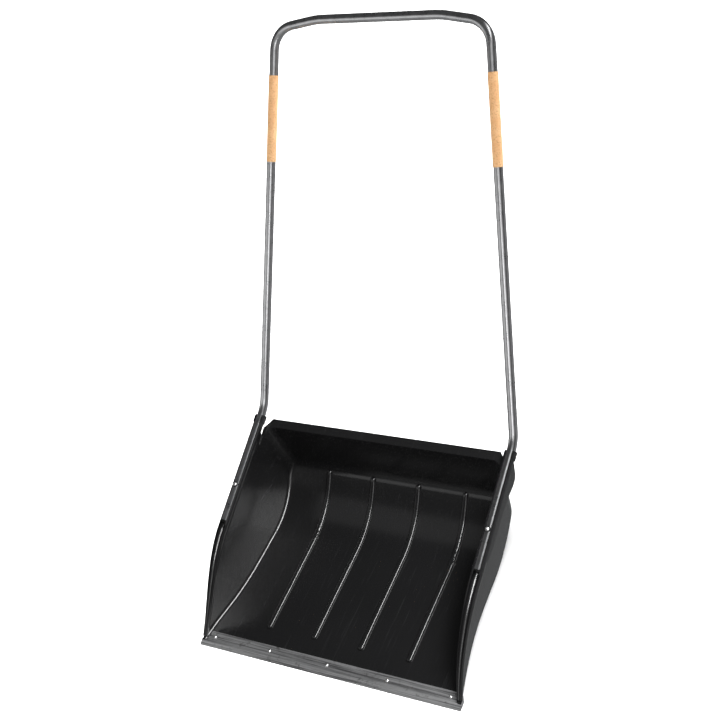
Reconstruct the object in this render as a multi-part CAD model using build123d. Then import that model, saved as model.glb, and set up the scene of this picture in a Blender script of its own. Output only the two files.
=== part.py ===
"""Push-type snow scoop: moulded scoop, riveted steel lip and a one-piece U-shaped tube handle.

Millimetres, +Z up, X across the scoop, the lip faces -Y and the handle rises towards +Y.
Y stations are measured from the front edge of the lip. The finished pieces are moved so that
the origin sits in the middle of the flat underside, the surface the scoop stands on.
"""
import os
from math import cos, radians, sin, tan

from build123d import *

# ---- overall frame ----
ORIGIN_FROM_LIP = 185.0      # lip edge back to the middle of the flat underside
SIDES = (-1, 1)

# ---- moulded scoop ----
FLOOR_T = 4.5                # wear floor
BACK_T = 3.2                 # back wall
SIDE_T = 3.2                 # side walls
SHELL_FRONT = 12.0           # front edge of the moulding, inside the folded steel
FLAT_END = 335.0             # where the floor starts to sweep up
SWEEP_R = 225.0              # large floor-to-back radius
SWEEP_ANGLE = 47.0
HEEL_R = 50.0                # tight radius at the foot of the back wall
BACK_ANGLE = 88.0            # back wall, from horizontal
BACK_TOP = 224.0
CORNER_R = 9.0               # inside floor-to-side radius
REAR_CORNER_R = 38.0         # upright inside corners between the sides and the back
# inside half width at floor level against distance from the lip
FLOOR_EDGE = ((357, 0), (346, 57), (331, 125), (318.5, 215), (314, 330), (310, 474))
# inside half width at the reference height
RIM_EDGE = ((353, 0), (350, 80), (346, 180), (341, 330), (340, 474))
RIM_REF_Z = 260.0

# ---- side gutters that hold the tube ----
GUTTER_X = 349.5
REAR_SLOPE = 16.4            # straight part, from horizontal
FRONT_SLOPE = 41.0           # part running down to the lip
GUTTER_BEND_R = 400.0
BEND_Y, BEND_Z = 558.0, 250.0    # vertex of the tube bend above the scoop
ARC_START_Y = 250.0          # straight gutter ends, curved front part begins
GUTTER_END_Y = 534.0         # rear end of the gutter
TOE_Z = 9.0                  # height of the gutter axis at the lip
GUTTER_R = 13.2
GUTTER_LIP = 8.6             # gutter edges above the tube axis
GROOVE_R = 11.3
EAR_R, EAR_LIP, EAR_LENGTH = 15.2, 9.0, 18.0
# curved part: share of the way to the lip, sideways shift, outer radius, edge height,
# groove radius and groove lift
GUTTER_STATIONS = (
    (0.0, 0.0, 13.2, 6.5, 11.3, 0.0),
    (0.3, -1.5, 11.6, 6.0, 9.0, 1.6),
    (0.6, -3.0, 9.4, 5.2, 6.2, 3.4),
    (1.0, 2.5, 6.5, 4.2, 2.4, 5.6),
)

# outer apron below each gutter: distance from the lip and depth below the tube axis
APRON_T = 3.0
APRON_EDGE = ((285, 6), (330, 16), (411, 19), (460, 29), (482, 34), (493, 33), (501, 25), (511, 6))

# ---- rear flange ----
FLANGE_Y = 538.0
FLANGE_Z = 231.0
FLANGE_T = 3.0
FLANGE_SKIRT = 10.0
FLANGE_HALF = 319.0          # straight rear edge ends here, then cuts across to the gutters
FLANGE_CUT = (340.0, 512.0)
FLANGE_ROOT_Y = 516.5
FLANGE_WEB_Y = 468.0         # corner webs between flange and gutters reach forward to here

# ---- floor ribs ----
RIB_X = (-194.5, -64.8, 64.8, 194.5)
RIB_W, RIB_H = 14.0, 6.0
RIB_START = 82.0
RIB_TOP_ANGLE = 60.0
STACKING_NUB = (353.0, 8.0, 8.2)    # station, radius and height on the two outer ribs
SKID_W = 9.0                 # skids under the ribs carry the flat base back to here
SKID_OUTLINE = ((328, 0), (404, 0), (411, 5), (412, 15), (370, 5), (328, 3))

# ---- folded steel lip and its rivets ----
LIP_HALF = 360.0
STEEL_T = 1.6
LIP_TOP_DEPTH = 40.0
LIP_UNDER_DEPTH = 36.0
LIP_NOSE = 11.0              # sloping front face
LIP_TOP_HALF = 340.0         # rear corners of the top leaf
LIP_NOTCH = (345.5, 15.0)
RIVET_X = (-326.8, -163.4, 0.0, 163.4, 326.8)
RIVET_Y = 26.0
RIVET_SHANK_R, RIVET_HEAD_R, RIVET_HEAD_H = 2.4, 4.5, 2.4
RIVET_SINK_R, RIVET_SINK_H = 4.0, 1.2

# ---- tube handle ----
TUBE_R, TUBE_WALL = 11.0, 1.3
TUBE_START_Y = 262.0
LEG_TOP = (283.9, 1137.4, 981.5)
BAR_KINK = (165.0, 1149.1, 996.2)
LOWER_R, CORNER_BEND_R, KINK_R = 75.0, 60.0, 220.0
SLEEVE_FROM_TOP = (107.0, 313.0)    # along the leg, measured down from its top vertex
SLEEVE_BORE_R, SLEEVE_R = 11.1, 12.1
PLUG_LENGTH, PLUG_CAP, PLUG_CAP_R = 16.0, 2.5, 11.0

# ---- bolts through gutter and tube ----
BOLT_Y = 351.5
BOLT_R, BOLT_HEAD_R, BOLT_HEAD_H = 3.0, 5.6, 3.6
SADDLE_R, SADDLE_T = 7.0, 1.2
PAD_R, PAD_BOTTOM = 9.0, 16.5       # boss under the gutter
WASHER_R, WASHER_T = 6.2, 1.4
NUT_AF, NUT_H = 10.0, 5.2
BOLT_TAIL = 2.0

# ---- clearances and working lengths ----
CLEAR = 0.2                  # between pieces that are assembled
FIT = 0.1                    # round a shank or stem that fills its hole
BITE = 1.0                   # how far one feature is sunk into the next so that they join
OVER = 30.0                  # how far a cutting shape reaches past the piece


def side_extrude(face, half_width):
    """Extrude a face drawn in the side plane to both sides of the centre."""
    return extrude(face, amount=half_width, both=True)


def in_side_plane(curve_builder):
    return Plane.YZ * make_face(curve_builder)


# ---------------------------------------------------------------- scoop profile
def sweep_point(angle, radius_offset=0.0):
    """Point on the scooped profile at a surface angle; a positive offset lies inside the scoop."""
    a, s = radians(angle), radians(min(angle, SWEEP_ANGLE))
    y = FLAT_END + SWEEP_R * sin(s)
    z = FLOOR_T + SWEEP_R * (1 - cos(s))
    if angle > SWEEP_ANGLE:
        y += HEEL_R * (sin(a) - sin(s))
        z += HEEL_R * (cos(s) - cos(a))
    return (y - radius_offset * sin(a), z + radius_offset * cos(a))


def profile_curve(start_y, offset, end_angle, top_z=None):
    """Floor line, large sweep and heel radius, offset inwards from the inner surface."""
    edges = [Line((start_y, FLOOR_T + offset), (FLAT_END, FLOOR_T + offset))]
    large_end = min(end_angle, SWEEP_ANGLE)
    edges.append(ThreePointArc(sweep_point(0, offset), sweep_point(large_end / 2, offset),
                               sweep_point(large_end, offset)))
    if end_angle > SWEEP_ANGLE:
        middle = (SWEEP_ANGLE + end_angle) / 2
        edges.append(ThreePointArc(sweep_point(SWEEP_ANGLE, offset), sweep_point(middle, offset),
                                   sweep_point(end_angle, offset)))
    if top_z is not None:
        y, z = sweep_point(end_angle, offset)
        edges.append(Line((y, z), (y + (top_z - z) / tan(radians(end_angle)), top_z)))
    return edges


def scoop_side_solid(floor_offset, back_offset, front_y, half_width):
    """Everything in front of and above one skin of the scoop."""
    high = RIM_REF_Z + 2 * OVER
    wall = profile_curve(front_y, back_offset, BACK_ANGLE, high)
    if floor_offset != back_offset:
        start_back = sweep_point(SWEEP_ANGLE, back_offset)
        wall = [
            Line((front_y, FLOOR_T + floor_offset), (FLAT_END, FLOOR_T + floor_offset)),
            ThreePointArc(
                (FLAT_END, FLOOR_T + floor_offset),
                sweep_point(SWEEP_ANGLE / 2, (floor_offset + back_offset) / 2),
                start_back),
        ] + wall[2:]
    end = wall[-1] @ 1
    start = wall[0] @ 0
    wall += [Line(end, (start.X, high)), Line((start.X, high), start)]
    return side_extrude(in_side_plane(wall), half_width)


def back_wall_y(z):
    """Inner face of the straight back wall at a height."""
    y, foot_z = sweep_point(BACK_ANGLE)
    return y + (z - foot_z) / tan(radians(BACK_ANGLE))


def plan_face(stations, extra, z, front_y):
    """Plan outline with curved edges and round rear corners, widened by extra."""
    pts = [(x + extra, y) for x, y in stations]
    pts[0] = (pts[0][0], front_y)
    x_rear = pts[-1][0]
    radius = REAR_CORNER_R + extra
    y_rear = back_wall_y(z) + extra + 1.5
    pts[-1] = (x_rear, y_rear - radius)
    side = Spline(*pts, tangents=[(pts[1][0] - pts[0][0], pts[1][1] - pts[0][1]), (0, 1)])
    corner = RadiusArc((x_rear, y_rear - radius), (x_rear - radius, y_rear), -radius)
    left_side, left_corner = [mirror(curve, about=Plane.YZ) for curve in (side, corner)]
    front = Line(left_side @ 0, side @ 0)
    rear = Line(corner @ 1, left_corner @ 1)
    outline = [front, side, corner, rear, left_corner, left_side]
    return Plane.XY.offset(z) * make_face(outline)


def side_block(extra, front_y):
    """Block between the two flared side walls."""
    sections = [plan_face(FLOOR_EDGE, extra, -1.0, front_y),
                plan_face(RIM_EDGE, extra, RIM_REF_Z, front_y)]
    return loft(sections, ruled=True)


def rounded_along_sides(solid, radius):
    """Round the two long edges where the side walls leave the floor and the back."""
    edges = [e for e in solid.edges()
             if abs(e.center().X) > FLANGE_HALF - 10
             and e.center().Z < BACK_TOP
             and e.length > HEEL_R / 2
             and abs((e @ 0).X) > FLANGE_HALF - 10
             and not on_plan_face(e)]
    return fillet(edges, radius)


def on_plan_face(edge):
    """True for edges that lie in the open front of the block."""
    a, b = edge @ 0, edge @ 1
    return abs(a.Y - b.Y) < 1e-3 and abs(a.Z - b.Z) > 1.0


# ---------------------------------------------------------------- gutters
def axis_z(y):
    return BEND_Z + (y - BEND_Y) * tan(radians(REAR_SLOPE))


def gutter_arc_centre():
    s = radians(REAR_SLOPE)
    return (ARC_START_Y + GUTTER_BEND_R * sin(s),
            axis_z(ARC_START_Y) - GUTTER_BEND_R * cos(s))


def gutter_arc_point(angle):
    cy, cz = gutter_arc_centre()
    a = radians(angle)
    return (cy - GUTTER_BEND_R * sin(a), cz + GUTTER_BEND_R * cos(a))


def toe_point():
    y, z = gutter_arc_point(FRONT_SLOPE)
    return (y - (z - TOE_Z) / tan(radians(FRONT_SLOPE)), TOE_Z)


def front_axis():
    """Curved front part of the gutter axis, from the straight part to the lip."""
    middle = (REAR_SLOPE + FRONT_SLOPE) / 2
    arc = ThreePointArc(gutter_arc_point(REAR_SLOPE), gutter_arc_point(middle),
                        gutter_arc_point(FRONT_SLOPE))
    return Plane.YZ * Wire([arc, Line(arc @ 1, toe_point())])


def open_section(radius, edge_height):
    """Round section with its top sliced off flat."""
    top = Pos(0, edge_height + radius) * Rectangle(4 * radius, 2 * radius)
    return Circle(radius) - top


def section_plane(point, direction):
    """Plane across the gutter: local X is the scoop's X, local Y points up out of the gutter."""
    up = Vector(0, -direction.Z, direction.Y)
    return Plane(origin=point, x_dir=(1, 0, 0), z_dir=Vector(1, 0, 0).cross(up))


def rear_plane(y):
    s = radians(REAR_SLOPE)
    return section_plane(Vector(0, y, axis_z(y)), Vector(0, cos(s), sin(s)))


def straight_run(face, y_from, y_to):
    """Extrude a gutter section along the straight rear part."""
    length = (y_to - y_from) / cos(radians(REAR_SLOPE))
    start = rear_plane(y_from)
    solid = extrude(start * face, amount=length)
    if solid.center().Y < y_from:
        solid = extrude(start * face, amount=-length)
    return solid


def gutter_pieces(side):
    """Outer body and groove of one gutter, centred on X = 0."""
    axis = front_axis()
    outer_sections, groove_sections = [], []
    for share, shift, radius, edge_height, groove_r, lift in GUTTER_STATIONS:
        direction = (axis % share) * -1
        plane = section_plane(axis @ share + Vector(side * shift, 0, 0), direction)
        outer_sections.append(plane * open_section(radius, edge_height))
        groove_sections.append(plane * Pos(0, lift) * Circle(groove_r))
    outer = loft(outer_sections)
    groove = loft(groove_sections)
    outer += straight_run(open_section(GUTTER_R, GUTTER_LIP), ARC_START_Y, GUTTER_END_Y)
    outer += straight_run(open_section(EAR_R, EAR_LIP), GUTTER_END_Y - EAR_LENGTH, GUTTER_END_Y)
    outer += bolt_pad()
    groove += straight_run(Circle(GROOVE_R), ARC_START_Y, GUTTER_END_Y + OVER)
    return outer, groove


def bolt_plane():
    """Plane on the tube axis at the bolt, its Z pointing up out of the gutter."""
    s = radians(REAR_SLOPE)
    return Plane(origin=(0, BOLT_Y, axis_z(BOLT_Y)), x_dir=(1, 0, 0), z_dir=(0, -sin(s), cos(s)))


def along_bolt(radius, low, high):
    """Cylinder on the bolt axis between two heights above the tube axis."""
    return bolt_plane() * Pos(0, 0, (low + high) / 2) * Cylinder(radius, high - low)


def bolt_pad():
    return along_bolt(PAD_R, -PAD_BOTTOM, 0)


# ---------------------------------------------------------------- scoop body
def under_gutter_line():
    """Side region below the gutter axis, used to trim the side walls."""
    low = -20.0
    rear = BEND_Y + 2 * OVER
    toe = toe_point()
    middle = (REAR_SLOPE + FRONT_SLOPE) / 2
    arc = ThreePointArc(gutter_arc_point(REAR_SLOPE), gutter_arc_point(middle),
                        gutter_arc_point(FRONT_SLOPE))
    outline = [
        Line((rear, axis_z(rear)), arc @ 0),
        arc,
        Line(arc @ 1, toe),
        Line(toe, (SHELL_FRONT, toe[1] - 2)),
        Line((SHELL_FRONT, toe[1] - 2), (SHELL_FRONT, low)),
        Line((SHELL_FRONT, low), (rear, low)),
        Line((rear, low), (rear, axis_z(rear))),
    ]
    return Pos(0, 0, -1) * side_extrude(in_side_plane(outline), LIP_HALF + OVER)


def rib(x):
    """Long rib with rounded ends, following the floor and the sweep."""
    low = profile_curve(RIB_START, -BITE, RIB_TOP_ANGLE)
    high = profile_curve(RIB_START, RIB_H, RIB_TOP_ANGLE)
    outline = low + high + [Line(low[0] @ 0, high[0] @ 0), Line(low[-1] @ 1, high[-1] @ 1)]
    body = extrude(in_side_plane(outline), amount=RIB_W / 2, both=True)
    ends = [e for e in body.edges() if abs(e.length - RIB_H - BITE) < CLEAR]
    body = fillet(ends, RIB_W / 2 - CLEAR)
    top = [e for e in body.edges()
           if min((e @ 0).Z, (e @ 1).Z) > FLOOR_T + RIB_H - 0.6 and not at_rib_foot(e)]
    body = fillet(top, RIB_H - 1.2)
    return Pos(x, 0, 0) * body


def at_rib_foot(edge):
    """True for edges on the buried underside of a rib."""
    p = edge @ 0.5
    if p.Y < FLAT_END:
        return p.Z < FLOOR_T
    centre_z = FLOOR_T + SWEEP_R
    distance = ((p.Y - FLAT_END) ** 2 + (p.Z - centre_z) ** 2) ** 0.5
    if distance < SWEEP_R - RIB_H - 2:
        return False
    cy, cz = sweep_point(SWEEP_ANGLE, HEEL_R)
    heel = ((p.Y - cy) ** 2 + (p.Z - cz) ** 2) ** 0.5
    steep = p.Z > sweep_point(SWEEP_ANGLE)[1] - 3
    return heel > HEEL_R - 1 if steep else distance > SWEEP_R - 1


def stacking_nub(x):
    y, radius, height = STACKING_NUB
    root = FLOOR_T - BITE
    nub = Pos(x, y, root + height / 2) * Cylinder(radius, height)
    return fillet(nub.edges().sort_by(Axis.Z)[-1], 3.0)


def flange_z(y):
    """Height of the flange's sloping top face."""
    slope = (FLANGE_Z - BACK_TOP) / (FLANGE_Y - FLANGE_ROOT_Y)
    return BACK_TOP + slope * (y - FLANGE_ROOT_Y)


def above_flange():
    """Everything above the flange's top face, between the gutters."""
    far = FLANGE_Y + OVER
    outline = Polyline(
        (FLANGE_WEB_Y, flange_z(FLANGE_WEB_Y)), (far, flange_z(far)), (far, RIM_REF_Z + 2 * OVER),
        (FLANGE_WEB_Y, RIM_REF_Z + 2 * OVER), close=True)
    return side_extrude(in_side_plane(outline), GUTTER_X - GUTTER_R + 0.5)


def apron():
    """Plate that hangs outside one gutter, deepest at the rear, centred on X = 0."""
    top = [Vector(0, y, axis_z(y)) for y in (APRON_EDGE[0][0], APRON_EDGE[-1][0])]
    low = [Vector(0, y, axis_z(y) - depth) for y, depth in APRON_EDGE]
    outline = make_face(Wire([Line(top[0], low[0]), Spline(*low), Line(low[-1], top[1]),
                              Line(top[1], top[0])]))
    return extrude(outline, amount=APRON_T / 2, both=True, dir=(1, 0, 0))


def rear_flange():
    """Flange along the top of the back wall with a turned-down edge and cut corners."""
    tilt = [(FLANGE_WEB_Y, flange_z(FLANGE_WEB_Y)), (FLANGE_Y, FLANGE_Z),
            (FLANGE_Y, FLANGE_Z - FLANGE_T), (FLANGE_WEB_Y, flange_z(FLANGE_WEB_Y) - FLANGE_T)]
    plate = side_extrude(in_side_plane(Polyline(*tilt, close=True)), FLANGE_CUT[0])
    outline = make_face(Polyline(
        (-FLANGE_CUT[0], FLANGE_CUT[1]), (-FLANGE_HALF, FLANGE_Y), (FLANGE_HALF, FLANGE_Y),
        FLANGE_CUT, (FLANGE_CUT[0], 0), (-FLANGE_CUT[0], 0), close=True))
    inside = offset(outline, -FLANGE_T)
    plan = Pos(0, 0, BACK_TOP - 60) * extrude(outline, amount=100)
    skirt = Pos(0, 0, FLANGE_Z - FLANGE_SKIRT) * extrude(outline - inside, amount=FLANGE_SKIRT)
    under_plate = [(0, 0), (0, BACK_TOP), (FLANGE_ROOT_Y, BACK_TOP), (FLANGE_Y, FLANGE_Z),
                   (FLANGE_Y, 0)]
    skirt &= side_extrude(in_side_plane(Polyline(*under_plate, close=True)), LIP_HALF)
    keep = Pos(0, FLANGE_CUT[1] + 50, BACK_TOP) * Box(2 * FLANGE_CUT[0], 100, 100)
    return (plate & plan) + (skirt & keep)


def heel_skid(x):
    """Fin under the sweep that carries the flat underside on towards the back."""
    outline = Polyline(*SKID_OUTLINE, close=True)
    return Pos(x, 0, 0) * side_extrude(in_side_plane(outline), SKID_W / 2)


def lip_room():
    """Space for both steel leaves along the front edge, with the rivet holes."""
    depth = LIP_UNDER_DEPTH - SHELL_FRONT + 1.0
    room = Pos(0, SHELL_FRONT + depth / 2 - 0.8, 0) * Box(2 * LIP_HALF, depth, 2 * STEEL_T + 0.2)
    room += Pos(0, 0, FLOOR_T) * extrude(top_leaf_plan(CLEAR), amount=STEEL_T + 0.1)
    for x in RIVET_X:
        room += Pos(x, RIVET_Y, 0) * Cylinder(RIVET_SHANK_R + FIT, OVER)
    return room


def top_leaf_plan(extra):
    """Plan of the top steel leaf: full width at the front, cut back beside the walls."""
    tip, rear = LIP_HALF + extra, LIP_TOP_DEPTH + extra
    right = [(tip, 0), (tip, LIP_NOTCH[1] + extra), (LIP_NOTCH[0] + extra, LIP_NOTCH[1] + extra),
             (LIP_TOP_HALF + extra, rear)]
    left = [(-x, y) for x, y in reversed(right)]
    return make_face(Polyline(*right, *left, close=True))


def make_scoop():
    outer = side_block(SIDE_T, SHELL_FRONT)
    outer &= scoop_side_solid(-FLOOR_T, -BACK_T, SHELL_FRONT, 2 * LIP_HALF)
    outer = rounded_along_sides(outer, CORNER_R + SIDE_T)
    inner = side_block(0.0, -OVER) & scoop_side_solid(0.0, 0.0, -OVER, 2 * LIP_HALF)
    inner = rounded_along_sides(inner, CORNER_R)
    outer &= under_gutter_line()
    shell = outer - above_flange()
    shell += rear_flange()
    for side in SIDES:
        shell += Pos(side * (GUTTER_X + GUTTER_R - APRON_T / 2), 0, 0) * apron()
    grooves = []
    for side in SIDES:
        gutter, groove = [Pos(side * GUTTER_X, 0, 0) * piece for piece in gutter_pieces(side)]
        shell += gutter
        inner -= gutter
        grooves += [groove, Pos(side * GUTTER_X, 0, 0) * along_bolt(BOLT_R + CLEAR, -OVER, OVER)]
    shell -= inner
    for groove in grooves:
        shell -= groove
    for x in RIB_X:
        shell += heel_skid(x)
        shell += rib(x)
    for x in (RIB_X[0], RIB_X[-1]):
        shell += stacking_nub(x)
    return shell - lip_room()


# ---------------------------------------------------------------- steel lip
def make_lip():
    t = STEEL_T
    slope = (FLOOR_T + t - 1.0) / LIP_NOSE
    outline = Polyline(
        (0, 0), (LIP_UNDER_DEPTH, 0), (LIP_UNDER_DEPTH, t), (3.2, t),
        (LIP_NOSE + 0.6, FLOOR_T), (LIP_TOP_DEPTH, FLOOR_T), (LIP_TOP_DEPTH, FLOOR_T + t),
        (LIP_NOSE, FLOOR_T + t), (0, FLOOR_T + t - slope * LIP_NOSE), close=True)
    lip = side_extrude(in_side_plane(outline), LIP_HALF)
    above_under_leaf = Pos(0, 0, t + CLEAR) * extrude(top_leaf_plan(0), amount=OVER)
    lip &= above_under_leaf + Pos(0, LIP_TOP_DEPTH / 2, 0) * Box(
        2 * LIP_HALF, LIP_TOP_DEPTH, 2 * (t + CLEAR))
    for side in SIDES:
        under = Polyline(
            (side * (LIP_HALF - 8), LIP_UNDER_DEPTH + 1), (side * (LIP_HALF + 5), LIP_NOTCH[1]),
            (side * (LIP_HALF + 5), LIP_UNDER_DEPTH + 1), close=True)
        lip -= extrude(Plane.XY.offset(-1) * make_face(under), amount=5)
    for x in RIVET_X:
        lip -= Pos(x, RIVET_Y, 0) * Cylinder(RIVET_SHANK_R + FIT, OVER)
        lip -= Pos(x, RIVET_Y, RIVET_SINK_H / 2) * Cone(
            RIVET_SINK_R, RIVET_SHANK_R, RIVET_SINK_H)
    return lip


def make_rivets():
    top = FLOOR_T + STEEL_T
    dome_r = (RIVET_HEAD_R ** 2 + RIVET_HEAD_H ** 2) / (2 * RIVET_HEAD_H)
    rivets = []
    for x in RIVET_X:
        ball = Pos(0, 0, top + RIVET_HEAD_H - dome_r) * Sphere(dome_r)
        head = ball & Pos(0, 0, top + RIVET_HEAD_H / 2) * Cylinder(RIVET_HEAD_R, RIVET_HEAD_H)
        shank = Pos(0, 0, (top + 0.2) / 2) * Cylinder(RIVET_SHANK_R, top + 0.2)
        tail = Pos(0, 0, RIVET_SINK_H / 2) * Cone(RIVET_SINK_R - FIT, RIVET_SHANK_R, RIVET_SINK_H)
        rivets.append(Pos(x, RIVET_Y, 0) * (head + shank + tail))
    return rivets


# ---------------------------------------------------------------- handle
def rounded_path(points, radii):
    """Straight runs joined by arcs; one radius for each inner point."""
    pts = [Vector(*p) for p in points]
    edges, start = [], pts[0]
    for i, radius in enumerate(radii, start=1):
        before = (pts[i - 1] - pts[i]).normalized()
        after = (pts[i + 1] - pts[i]).normalized()
        half = radians(before.get_angle(after)) / 2
        reach = radius / tan(half)
        a, b = pts[i] + before * reach, pts[i] + after * reach
        bisector = (before + after).normalized()
        middle = pts[i] + bisector * (radius / sin(half) - radius)
        edges.append(Line(start, a))
        edges.append(ThreePointArc(a, middle, b))
        start = b
    edges.append(Line(start, pts[-1]))
    return Wire(edges)


def handle_path():
    start = (GUTTER_X, TUBE_START_Y, axis_z(TUBE_START_Y))
    right = [start, (GUTTER_X, BEND_Y, BEND_Z), LEG_TOP, BAR_KINK]
    left = [(-x, y, z) for x, y, z in reversed(right)]
    radii = [LOWER_R, CORNER_BEND_R, KINK_R]
    return rounded_path(right + left, radii + radii[::-1])


def tube_along(path, radius):
    return sweep(Plane(origin=path @ 0, z_dir=path % 0) * Circle(radius), path)


def make_handle():
    path = handle_path()
    tube = tube_along(path, TUBE_R) - tube_along(path, TUBE_R - TUBE_WALL)
    for side in SIDES:
        tube -= Pos(side * GUTTER_X, 0, 0) * along_bolt(BOLT_R + CLEAR, -OVER, OVER)
    return tube


def make_sleeve(side):
    """Thin grip sleeve on the straight part of one leg."""
    top = Vector(side * LEG_TOP[0], LEG_TOP[1], LEG_TOP[2])
    down = (Vector(side * GUTTER_X, BEND_Y, BEND_Z) - top).normalized()
    start, end = SLEEVE_FROM_TOP
    plane = Plane(origin=top + down * start, z_dir=down)
    sleeve = extrude(plane * (Circle(SLEEVE_R) - Circle(SLEEVE_BORE_R)), amount=end - start)
    rims = sleeve.edges().filter_by(GeomType.CIRCLE).sort_by(SortBy.RADIUS)[-2:]
    return fillet(rims, 0.5)


def make_plugs():
    """Push-in plugs closing the lower ends of the tube."""
    plugs = []
    for side in SIDES:
        bore = Circle(TUBE_R - TUBE_WALL - FIT)
        stem = straight_run(bore, TUBE_START_Y - BITE, TUBE_START_Y + PLUG_LENGTH)
        cap = straight_run(Circle(PLUG_CAP_R), TUBE_START_Y - PLUG_CAP, TUBE_START_Y - FIT)
        plugs.append(Pos(side * GUTTER_X, 0, 0) * (stem + cap))
    return plugs


# ---------------------------------------------------------------- bolts
def make_bolts():
    seat = TUBE_R + SADDLE_T
    tail = PAD_BOTTOM + WASHER_T + NUT_H + BOLT_TAIL
    bolts = []
    for side in SIDES:
        dome_r = (BOLT_HEAD_R ** 2 + BOLT_HEAD_H ** 2) / (2 * BOLT_HEAD_H)
        ball = bolt_plane() * Pos(0, 0, seat + BOLT_HEAD_H - dome_r) * Sphere(dome_r)
        head = ball & along_bolt(BOLT_HEAD_R, seat, seat + BOLT_HEAD_H)
        socket = bolt_plane() * Pos(0, 0, seat + BOLT_HEAD_H - 1.8) * extrude(
            RegularPolygon(2.3, 6), amount=4)
        bolt = head - socket + along_bolt(BOLT_R, -tail, seat + 0.2)
        bolts.append(Pos(side * GUTTER_X, 0, 0) * bolt)
    return bolts


def make_saddles():
    """Curved washers between the bolt heads and the tube."""
    saddles = []
    for side in SIDES:
        blank = along_bolt(SADDLE_R, TUBE_R * 0.6, TUBE_R + SADDLE_T)
        blank -= straight_run(Circle(TUBE_R + 0.05), BOLT_Y - 30, BOLT_Y + 30)
        blank -= along_bolt(BOLT_R + CLEAR, 0, 40)
        saddles.append(Pos(side * GUTTER_X, 0, 0) * blank)
    return saddles


def make_washers():
    washers = []
    for side in SIDES:
        ring = along_bolt(WASHER_R, -PAD_BOTTOM - WASHER_T, -PAD_BOTTOM)
        ring -= along_bolt(BOLT_R + CLEAR, -40, 0)
        washers.append(Pos(side * GUTTER_X, 0, 0) * ring)
    return washers


def make_nuts():
    nuts = []
    top = -PAD_BOTTOM - WASHER_T
    for side in SIDES:
        hexagon = RegularPolygon(NUT_AF / 2, 6, major_radius=False)
        blank = bolt_plane() * Pos(0, 0, top - NUT_H) * extrude(hexagon, amount=NUT_H)
        blank -= along_bolt(BOLT_R + 0.05, -60, 0)
        nuts.append(Pos(side * GUTTER_X, 0, 0) * blank)
    return nuts


PIECES = {
    "scoop_body": make_scoop,
    "steel_lip": make_lip,
    "lip_rivets": make_rivets,
    "handle_tube": make_handle,
    "grip_sleeve_left": lambda: make_sleeve(-1),
    "grip_sleeve_right": lambda: make_sleeve(1),
    "tube_end_plugs": make_plugs,
    "handle_bolts": make_bolts,
    "saddle_washers": make_saddles,
    "flat_washers": make_washers,
    "lock_nuts": make_nuts,
}


def main():
    os.makedirs("parts", exist_ok=True)
    to_origin = Pos(0, -ORIGIN_FROM_LIP, 0)
    for name, build in PIECES.items():
        made = build()
        pieces = made if isinstance(made, list) else [made]
        solids = [to_origin * solid for piece in pieces for solid in piece.solids()]
        export_step(Compound(solids), f"parts/{name}.step")


if __name__ == "__main__":
    main()
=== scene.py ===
"""Looks of the push-type snow scoop: procedural materials, worn details, pale studio."""
import math

import bpy
from mathutils import Matrix, Vector

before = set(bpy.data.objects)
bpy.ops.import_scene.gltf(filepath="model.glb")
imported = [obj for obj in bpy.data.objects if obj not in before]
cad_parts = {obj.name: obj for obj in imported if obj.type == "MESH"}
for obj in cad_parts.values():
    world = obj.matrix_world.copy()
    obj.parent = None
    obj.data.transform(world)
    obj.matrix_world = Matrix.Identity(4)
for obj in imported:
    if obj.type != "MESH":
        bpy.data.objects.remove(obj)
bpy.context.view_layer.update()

SCENE = bpy.context.scene
RANGE_SOCKETS = ("From Min", "From Max", "To Min", "To Max")

# ---- camera, metres in the part's own frame ----
CAMERA_PLACE = (1.6213, -1.2422, 2.5798)
CAMERA_FORWARD = (-0.51549, 0.52377, -0.67818)
CAMERA_UP = (-0.09584, 0.75124, 0.65304)
LENS_MM, SENSOR_MM = 67.5, 36.0
CLIP_END = 200.0

# ---- studio ----
FLOOR_SIZE = 400.0
FLOOR_WHITE = (0.88, 0.88, 0.88)
ROOM_TINT = (0.98, 0.99, 1.0, 1.0)
ROOM_RAMP = (-0.15, 0.1, 0.34, 0.08)    # direction Z from, to; strength below, above
SUN_STRENGTH, SUN_ANGLE = 9.0, 70.0     # straight above, reaches the floor only
SCOOP = (0.0, 0.1, 0.1)                 # points the lights aim at
LEGS = (0.0, 0.6, 0.5)
LENGTHWISE = (0.0, 1.0, 0.0)
UPRIGHT = (0.0, 0.0, 1.0)
# objects that the linked lights reach; the other lights reach everything
LIT_NODES = {
    "scoop": ("scoop_body", "steel_lip", "lip_rivets", "handle_bolts"),
    "handle": ("handle_tube", "grip_sleeve_left", "grip_sleeve_right"),
}
# name, place, aim, width and height, surface brightness, direction of the height, lit set
LIGHTS = (
    ("rib_strip", (1.6, 0.5, 2.1), SCOOP, (0.7, 2.8), 32.0, LENGTHWISE, "scoop"),
    ("overhead_left", (-1.3, -0.5, 2.2), SCOOP, (1.4, 1.2), 0.3, LENGTHWISE, "scoop"),
    ("rib_strip_front", (1.2, -1.9, 1.7), SCOOP, (0.5, 1.3), 4.0, UPRIGHT, None),
    ("back_right", (1.5, 1.0, 2.3), SCOOP, (0.4, 2.2), 4.0, LENGTHWISE, None),
    ("camera_side", (2.0, -2.7, 2.5), LEGS, (3.8, 3.4), 0.8, UPRIGHT, None),
    ("front_left", (-1.6, -2.6, 0.9), LEGS, (1.8, 1.0), 1.0, UPRIGHT, None),
    ("bar_glow", (-1.7, -2.2, 2.0), LEGS, (1.8, 1.4), 0.9, UPRIGHT, "handle"),
    ("left_side", (-2.5, -0.8, 1.2), LEGS, (1.6, 1.3), 0.8, UPRIGHT, None),
)


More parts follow.
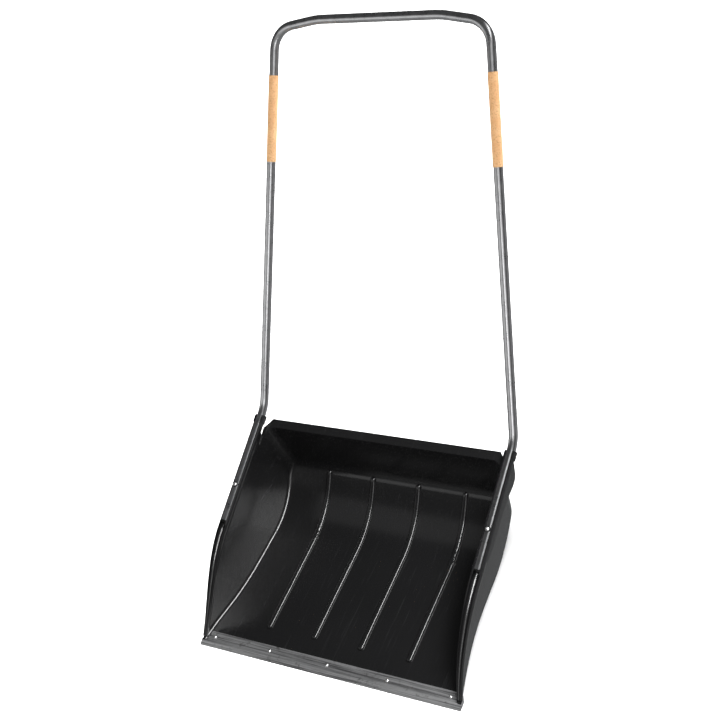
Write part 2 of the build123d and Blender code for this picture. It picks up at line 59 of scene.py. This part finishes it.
# ------------------------------------------------------------------ node helpers
class Nodes:
    """Small wrapper that adds and links shader nodes."""

    def __init__(self, name):
        self.material = bpy.data.materials.new(name)
        self.material.use_nodes = True
        self.tree = self.material.node_tree
        self.shader = self.tree.nodes["Principled BSDF"]
        self.place = self.add("ShaderNodeTexCoord").outputs["Object"]

    def add(self, kind, **settings):
        node = self.tree.nodes.new(kind)
        for key, value in settings.items():
            setattr(node, key, value)
        return node

    def link(self, source, target):
        self.tree.links.new(source, target)

    def stretched(self, scale, source=None):
        mapping = self.add("ShaderNodeMapping")
        mapping.inputs["Scale"].default_value = scale
        self.link(source or self.place, mapping.inputs["Vector"])
        return mapping.outputs["Vector"]

    def noise(self, scale, detail=3.0, rough=0.5, source=None):
        node = self.add("ShaderNodeTexNoise")
        node.inputs["Scale"].default_value = scale
        node.inputs["Detail"].default_value = detail
        node.inputs["Roughness"].default_value = rough
        self.link(source or self.place, node.inputs["Vector"])
        return node.outputs["Fac"]

    def ramp(self, source, low, high, dark=0.0, light=1.0):
        node = self.add("ShaderNodeMapRange")
        for key, value in zip(RANGE_SOCKETS, (low, high, dark, light)):
            node.inputs[key].default_value = value
        self.link(source, node.inputs["Value"])
        return node.outputs["Result"]

    def blend(self, fac, first, second):
        node = self.add("ShaderNodeMix", data_type="RGBA")
        self.link(fac, node.inputs["Factor"])
        for socket, value in (("A", first), ("B", second)):
            target = [s for s in node.inputs if s.name == socket and s.type == "RGBA"][0]
            if isinstance(value, tuple):
                target.default_value = (*value, 1.0)
            else:
                self.link(value, target)
        return [s for s in node.outputs if s.type == "RGBA"][0]

    def maths(self, operation, first, second):
        node = self.add("ShaderNodeMath", operation=operation)
        for socket, value in zip(node.inputs, (first, second)):
            if isinstance(value, (int, float)):
                socket.default_value = value
            else:
                self.link(value, socket)
        return node.outputs[0]

    def colour(self, value):
        if isinstance(value, tuple):
            self.shader.inputs["Base Color"].default_value = (*value, 1.0)
        else:
            self.link(value, self.shader.inputs["Base Color"])

    def roughness(self, source):
        self.link(source, self.shader.inputs["Roughness"])

    def bump(self, source, strength, distance, below=None):
        node = self.add("ShaderNodeBump")
        node.inputs["Strength"].default_value = strength
        node.inputs["Distance"].default_value = distance
        self.link(source, node.inputs["Height"])
        if below is not None:
            self.link(below, node.inputs["Normal"])
        self.link(node.outputs["Normal"], self.shader.inputs["Normal"])
        return node.outputs["Normal"]

    def set(self, **values):
        for key, value in values.items():
            self.shader.inputs[key.replace("_", " ")].default_value = value


def moulded_black():
    """Black moulding: broad dull sheen under a smoother skin, fine grain, lengthwise scuffs."""
    m = Nodes("moulded_black")
    cloud = m.noise(6.0, 4.0)
    scuffs = m.noise(1.0, 5.0, 0.6, m.stretched((160.0, 9.0, 60.0)))
    faint = m.ramp(scuffs, 0.58, 0.72)
    m.colour(m.blend(faint, (0.0026, 0.0026, 0.0028), (0.0058, 0.0058, 0.0062)))
    base = m.ramp(cloud, 0.3, 0.7, 0.48, 0.58)
    m.roughness(m.maths("ADD", base, m.maths("MULTIPLY", faint, 0.1)))
    grain = m.noise(1400.0, 2.0)
    below = m.bump(grain, 0.2, 0.00006)
    m.bump(scuffs, 0.02, 0.0001, below)
    m.set(Specular_IOR_Level=0.1, Coat_Weight=0.9, Coat_Roughness=0.2)
    return m.material


def rolled_steel():
    """Bare steel strip with rolling lines across the scoop and darker worn spots."""
    m = Nodes("rolled_steel")
    lines = m.noise(1.0, 6.0, 0.7, m.stretched((5.0, 260.0, 260.0)))
    spots = m.noise(70.0, 5.0, 0.6)
    dark = m.ramp(spots, 0.58, 0.78)
    base = m.blend(m.ramp(lines, 0.38, 0.62), (0.12, 0.12, 0.123), (0.62, 0.623, 0.63))
    m.colour(m.blend(dark, base, (0.12, 0.118, 0.115)))
    m.roughness(m.ramp(lines, 0.3, 0.7, 0.5, 0.4))
    m.bump(lines, 0.3, 0.0001)
    m.set(Metallic=1.0)
    return m.material


def drawn_tube():
    """Satin aluminium tube, slightly mottled and scuffed."""
    m = Nodes("drawn_tube")
    mottle = m.noise(45.0, 5.0, 0.6)
    fine = m.noise(900.0, 3.0)
    scuffs = m.ramp(m.noise(260.0, 5.0, 0.7), 0.56, 0.7)
    base = m.blend(m.ramp(mottle, 0.35, 0.65), (0.43, 0.433, 0.44), (0.56, 0.563, 0.57))
    m.colour(m.blend(m.maths("MULTIPLY", scuffs, 0.25), base, (0.45, 0.45, 0.455)))
    gloss = m.ramp(mottle, 0.3, 0.7, 0.26, 0.32)
    m.roughness(m.maths("ADD", gloss, m.maths("MULTIPLY", scuffs, 0.06)))
    m.bump(fine, 0.06, 0.00003)
    m.set(Metallic=1.0)
    return m.material


def grip_orange():
    """Closed-cell sleeve: pale orange with fine brown speckle and shallow pores."""
    m = Nodes("grip_orange")
    cloud = m.noise(60.0, 4.0)
    pores = m.noise(300.0, 5.0, 0.7)
    speckle = m.ramp(pores, 0.52, 0.66)
    base = m.blend(m.ramp(cloud, 0.3, 0.7), (0.80, 0.43, 0.19), (0.87, 0.53, 0.26))
    m.colour(m.blend(m.maths("MULTIPLY", speckle, 0.9), base, (0.5, 0.24, 0.09)))
    m.roughness(m.ramp(cloud, 0.3, 0.7, 0.42, 0.56))
    m.bump(pores, 0.35, 0.0003)
    return m.material


def plated(name, tone):
    """Satin metal of one grey tone for rivets and fasteners."""
    m = Nodes(name)
    cloud = m.noise(200.0, 4.0)
    dull = tone * 0.8
    m.colour(m.blend(m.ramp(cloud, 0.3, 0.7), (dull, dull, dull), (tone, tone, tone)))
    m.roughness(m.ramp(cloud, 0.3, 0.7, 0.3, 0.42))
    m.bump(cloud, 0.15, 0.0001)
    m.set(Metallic=1.0)
    return m.material


def small_black():
    """Grained black plastic for the plugs and curved washers."""
    m = Nodes("small_black")
    grain = m.noise(900.0, 3.0)
    m.colour(m.blend(m.ramp(grain, 0.4, 0.7), (0.01, 0.01, 0.01), (0.02, 0.02, 0.02)))
    m.roughness(m.ramp(grain, 0.3, 0.7, 0.45, 0.6))
    m.bump(grain, 0.2, 0.0001)
    return m.material


def paint(node, material):
    """Give a CAD node one material."""
    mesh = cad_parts[node].data
    mesh.materials.clear()
    mesh.materials.append(material)


paint("scoop_body", moulded_black())
paint("steel_lip", rolled_steel())
paint("lip_rivets", plated("rivet_metal", 0.55))
paint("handle_tube", drawn_tube())
sleeve = grip_orange()
paint("grip_sleeve_left", sleeve)
paint("grip_sleeve_right", sleeve)
zinc = plated("zinc_plated", 0.5)
paint("handle_bolts", zinc)
paint("flat_washers", zinc)
paint("lock_nuts", zinc)
black = small_black()
paint("saddle_washers", black)
paint("tube_end_plugs", black)


# ------------------------------------------------------------------ studio
def put(name, data):
    """Wrap data in an object and link it to the scene."""
    thing = bpy.data.objects.new(name, data)
    SCENE.collection.objects.link(thing)
    return thing


def placed(where, right, up, back):
    """World matrix from a place and three axes."""
    return Matrix.Translation(where) @ Matrix((right, up, back)).transposed().to_4x4()


def lit_set(name, objects):
    """Collection of the objects that a linked light reaches."""
    group = bpy.data.collections.new(name)
    for thing in objects:
        group.objects.link(thing)
    return group


def make_floor():
    """White floor that the object's own reflections don't show."""
    bpy.ops.mesh.primitive_plane_add(size=FLOOR_SIZE)
    floor = bpy.context.object
    floor.name = "studio_floor"
    m = Nodes("floor_white")
    m.colour(FLOOR_WHITE)
    m.set(Roughness=0.9, Specular_IOR_Level=0.1)
    floor.data.materials.append(m.material)
    floor.visible_glossy = False
    return floor


def make_world():
    """Dim room above and a paler reflection of the floor below the horizon."""
    world = bpy.data.worlds.new("soft_room")
    SCENE.world = world
    world.use_nodes = True
    nodes, links = world.node_tree.nodes, world.node_tree.links
    place = nodes.new("ShaderNodeTexCoord")
    split = nodes.new("ShaderNodeSeparateXYZ")
    level = nodes.new("ShaderNodeMapRange")
    links.new(place.outputs["Generated"], split.inputs["Vector"])
    links.new(split.outputs["Z"], level.inputs["Value"])
    for key, value in zip(RANGE_SOCKETS, ROOM_RAMP):
        level.inputs[key].default_value = value
    links.new(level.outputs["Result"], nodes["Background"].inputs["Strength"])
    nodes["Background"].inputs["Color"].default_value = ROOM_TINT


def floor_sun(receivers):
    """Very soft light from straight above that only brightens the floor."""
    data = bpy.data.lights.new("floor_sun", "SUN")
    data.energy, data.angle = SUN_STRENGTH, math.radians(SUN_ANGLE)
    put("floor_sun", data).light_linking.receiver_collection = receivers


def soft_box(name, where, aim, size, brightness, along, receivers):
    """Rectangular light facing `aim`, its second side as near to `along` as it can be."""
    data = bpy.data.lights.new(name, "AREA")
    data.shape = "RECTANGLE"
    data.size, data.size_y = size
    data.energy = math.pi * size[0] * size[1] * brightness
    light = put(name, data)
    away = (Vector(where) - Vector(aim)).normalized()
    side = Vector(along).cross(away).normalized()
    light.matrix_world = placed(where, side, away.cross(side), away)
    light.visible_camera = False
    if receivers is not None:
        light.light_linking.receiver_collection = receivers


def make_camera():
    data = bpy.data.cameras.new("camera")
    data.lens, data.sensor_width = LENS_MM, SENSOR_MM
    data.clip_end = CLIP_END
    camera = put("camera", data)
    forward = Vector(CAMERA_FORWARD).normalized()
    right = forward.cross(Vector(CAMERA_UP)).normalized()
    camera.matrix_world = placed(CAMERA_PLACE, right, right.cross(forward), -forward)
    SCENE.camera = camera


floor_sun(lit_set("floor_set", [make_floor()]))
make_world()
make_camera()
SETS = {name: lit_set(name + "_set", [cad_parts[node] for node in nodes])
        for name, nodes in LIT_NODES.items()}
for *light, lit in LIGHTS:
    soft_box(*light, SETS.get(lit))
SCENE.view_settings.view_transform = "Standard"
